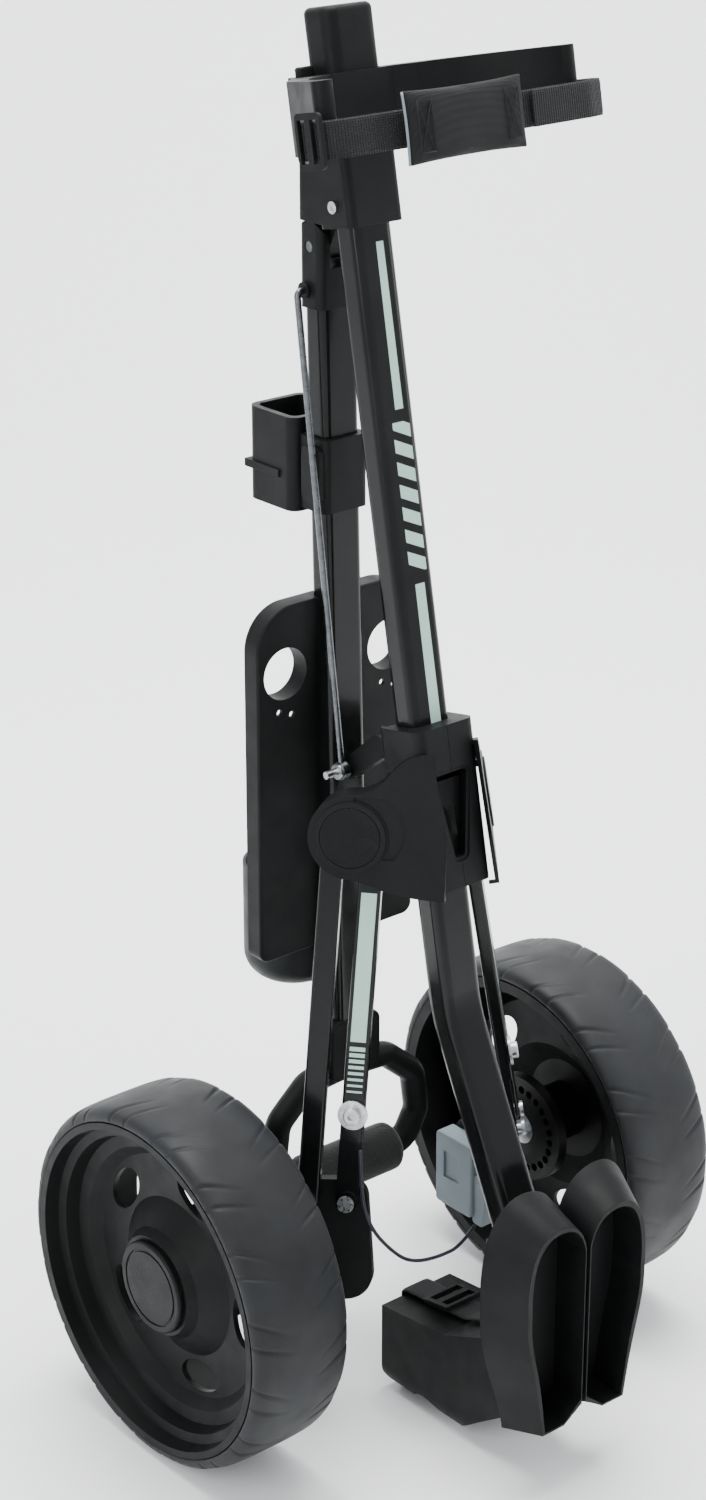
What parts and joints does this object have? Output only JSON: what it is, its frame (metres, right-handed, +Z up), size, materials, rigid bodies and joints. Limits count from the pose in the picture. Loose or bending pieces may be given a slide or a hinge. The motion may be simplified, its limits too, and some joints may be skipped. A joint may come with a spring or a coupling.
{
  "type": "golf bag pull trolley",
  "caption": "Folding pull trolley that carries a golf bag, with a fold-down handle, swing-out wheels and a parking brake.",
  "frame": {"origin": "on the ground, at the middle of the trolley's box", "axes": "+Z up, -Y towards the bag, +X to the right side seen from the bag"},
  "size_m": [0.4686, 0.387, 1.0774],
  "materials": {
    "gloss_black_paint": "gloss black coating on aluminium tube",
    "black_plastic": "matt moulded black nylon",
    "gloss_black_plastic": "gloss black badge",
    "webbing": "black nylon webbing",
    "pad_fabric": "black woven nylon",
    "zinc_steel": "zinc-plated steel",
    "black_steel": "black coated steel rod",
    "grey_plastic": "pale grey-blue moulded plastic",
    "dark_grey_plastic": "dark grey moulded plastic",
    "tyre": "solid rubber tread",
    "foam": "closed-cell foam",
    "cable": "black cable sheath"
  },
  "bodies": {
    "root": {"main_tube": "gloss_black_paint", "tube_end_cap": "black_plastic", "release_tab": "black_plastic", "upper_bag_bracket": "black_plastic", "upper_strap": "webbing", "strap_pad": "pad_fabric", "strap_buckle": "black_plastic", "upper_collar": "black_plastic", "collar_screws": "zinc_steel", "hinge_pin": "black_steel", "pivot_block": "black_plastic", "lower_bag_bracket": "black_plastic", "bracket_heel": "black_plastic", "lower_strap": "webbing", "lower_buckle": "black_plastic", "brake_cable": "cable", "link_pins": "zinc_steel", "cover_badges": "gloss_black_plastic", "pivot_cover_left": "black_plastic", "pivot_cover_right": "black_plastic"},
    "handle": {"handle_tube": "gloss_black_paint", "handle_knuckle": "black_plastic", "console_shell": "black_plastic", "console_pocket": "dark_grey_plastic", "score_clip": "zinc_steel", "accessory_clamp": "black_plastic", "clamp_latch": "black_plastic", "grip_junction": "black_plastic", "grip_loop": "black_plastic", "foam_grip": "foam"},
    "rod": {"control_rod": "black_steel", "rod_bolt": "zinc_steel"},
    "slider": {"fold_slider": "black_plastic"},
    "pedal": {"brake_pedal": "black_plastic"},
    "front_leg_left": {"front_link_left": "gloss_black_paint", "link_bolt_left": "zinc_steel"},
    "rear_leg_left": {"rear_link_left": "gloss_black_paint"},
    "carrier_left": {"wheel_carrier_left": "black_plastic", "carrier_pins_left": "zinc_steel", "axle_left": "zinc_steel", "brake_housing_left": "grey_plastic", "pedal_pin": "zinc_steel"},
    "wheel_left": {"tyre_left": "tyre", "wheel_rim_left": "black_plastic", "wheel_bearings_left": "zinc_steel", "hub_cap_left": "black_plastic"},
    "brake_bolt_left": {"brake_pin_left": "zinc_steel"},
    "front_leg_right": {"front_link_right": "gloss_black_paint", "link_bolt_right": "zinc_steel"},
    "rear_leg_right": {"rear_link_right": "gloss_black_paint"},
    "carrier_right": {"wheel_carrier_right": "black_plastic", "carrier_pins_right": "zinc_steel", "axle_right": "zinc_steel", "brake_housing_right": "grey_plastic"},
    "wheel_right": {"tyre_right": "tyre", "wheel_rim_right": "black_plastic", "wheel_bearings_right": "zinc_steel", "hub_cap_right": "black_plastic"},
    "brake_bolt_right": {"brake_pin_right": "zinc_steel"}
  },
  "joints": [
    {"name": "handle_fold", "type": "hinge", "parent": "root", "child": "handle", "pos_m": [0, 0.1045, 0.905], "axis": [1, 0, 0], "range_deg": [0, 120]},
    {"name": "rod_swing", "type": "hinge", "parent": "handle", "child": "rod", "pos_m": [-0.028, 0.1075, 0.873], "axis": [1, 0, 0], "range_deg": [-122.5, 0]},
    {"name": "slider_travel", "type": "slide", "parent": "root", "child": "slider", "axis": [0, 0.1874, 0.9823], "range_m": [0, 0.0536]},
    {"name": "front_leg_swing_left", "type": "hinge", "parent": "root", "child": "front_leg_left", "pos_m": [-0.04885, -0.00287, 0.48315], "axis": [0.7566, 0.6349, -0.1564], "range_deg": [0, 25], "deforming": ["brake_cable"]},
    {"name": "rear_leg_swing_left", "type": "hinge", "parent": "root", "child": "rear_leg_left", "pos_m": [-0.06813, 0.02011, 0.48315], "axis": [0.7566, 0.6349, -0.1564], "range_deg": [0, 25], "deforming": ["brake_cable"]},
    {"name": "carrier_swing_left", "type": "hinge", "parent": "front_leg_left", "child": "carrier_left", "pos_m": [-0.09128, -0.02216, 0.19969], "axis": [0.7566, 0.6349, -0.1564], "range_deg": [-25, 0], "deforming": ["brake_cable"]},
    {"name": "wheel_spin_left", "type": "hinge", "parent": "carrier_left", "child": "wheel_left", "pos_m": [-0.1908, 0.0475, 0.146], "axis": [1, 0, 0], "continuous": true},
    {"name": "brake_bolt_travel_left", "type": "slide", "parent": "carrier_left", "child": "brake_bolt_left", "axis": [-1, 0, 0], "range_m": [0, 0.006]},
    {"name": "front_leg_swing_right", "type": "hinge", "parent": "root", "child": "front_leg_right", "pos_m": [0.04885, -0.00287, 0.48315], "axis": [0.7566, -0.6349, 0.1564], "range_deg": [0, 25], "deforming": ["brake_cable"]},
    {"name": "rear_leg_swing_right", "type": "hinge", "parent": "root", "child": "rear_leg_right", "pos_m": [0.06813, 0.02011, 0.48315], "axis": [0.7566, -0.6349, 0.1564], "range_deg": [0, 25], "deforming": ["brake_cable"]},
    {"name": "carrier_swing_right", "type": "hinge", "parent": "front_leg_right", "child": "carrier_right", "pos_m": [0.09128, -0.02216, 0.19969], "axis": [0.7566, -0.6349, 0.1564], "range_deg": [-25, 0], "deforming": ["brake_cable"]},
    {"name": "wheel_spin_right", "type": "hinge", "parent": "carrier_right", "child": "wheel_right", "pos_m": [0.1908, 0.0475, 0.146], "axis": [1, 0, 0], "continuous": true},
    {"name": "brake_bolt_travel_right", "type": "slide", "parent": "carrier_right", "child": "brake_bolt_right", "axis": [1, 0, 0], "range_m": [0, 0.006]},
    {"name": "pedal_press", "type": "hinge", "parent": "carrier_left", "child": "pedal", "pos_m": [-0.0975, 0.0855, 0.138], "axis": [-1, 0, 0], "range_deg": [0, 20]}
  ],
  "couplings": [
    {"joint": "rod_swing", "follows": "handle_fold", "ratio": -1.0176},
    {"joint": "slider_travel", "follows": "handle_fold", "m_per_rad": 0.0255},
    {"joint": "front_leg_swing_left", "follows": "handle_fold", "ratio": 0.20833},
    {"joint": "rear_leg_swing_left", "follows": "handle_fold", "ratio": 0.20833},
    {"joint": "carrier_swing_left", "follows": "handle_fold", "ratio": -0.20833},
    {"joint": "brake_bolt_travel_left", "follows": "pedal_press", "m_per_rad": 0.0171},
    {"joint": "front_leg_swing_right", "follows": "handle_fold", "ratio": 0.20833},
    {"joint": "rear_leg_swing_right", "follows": "handle_fold", "ratio": 0.20833},
    {"joint": "carrier_swing_right", "follows": "handle_fold", "ratio": -0.20833},
    {"joint": "brake_bolt_travel_right", "follows": "pedal_press", "m_per_rad": 0.0171}
  ]
}
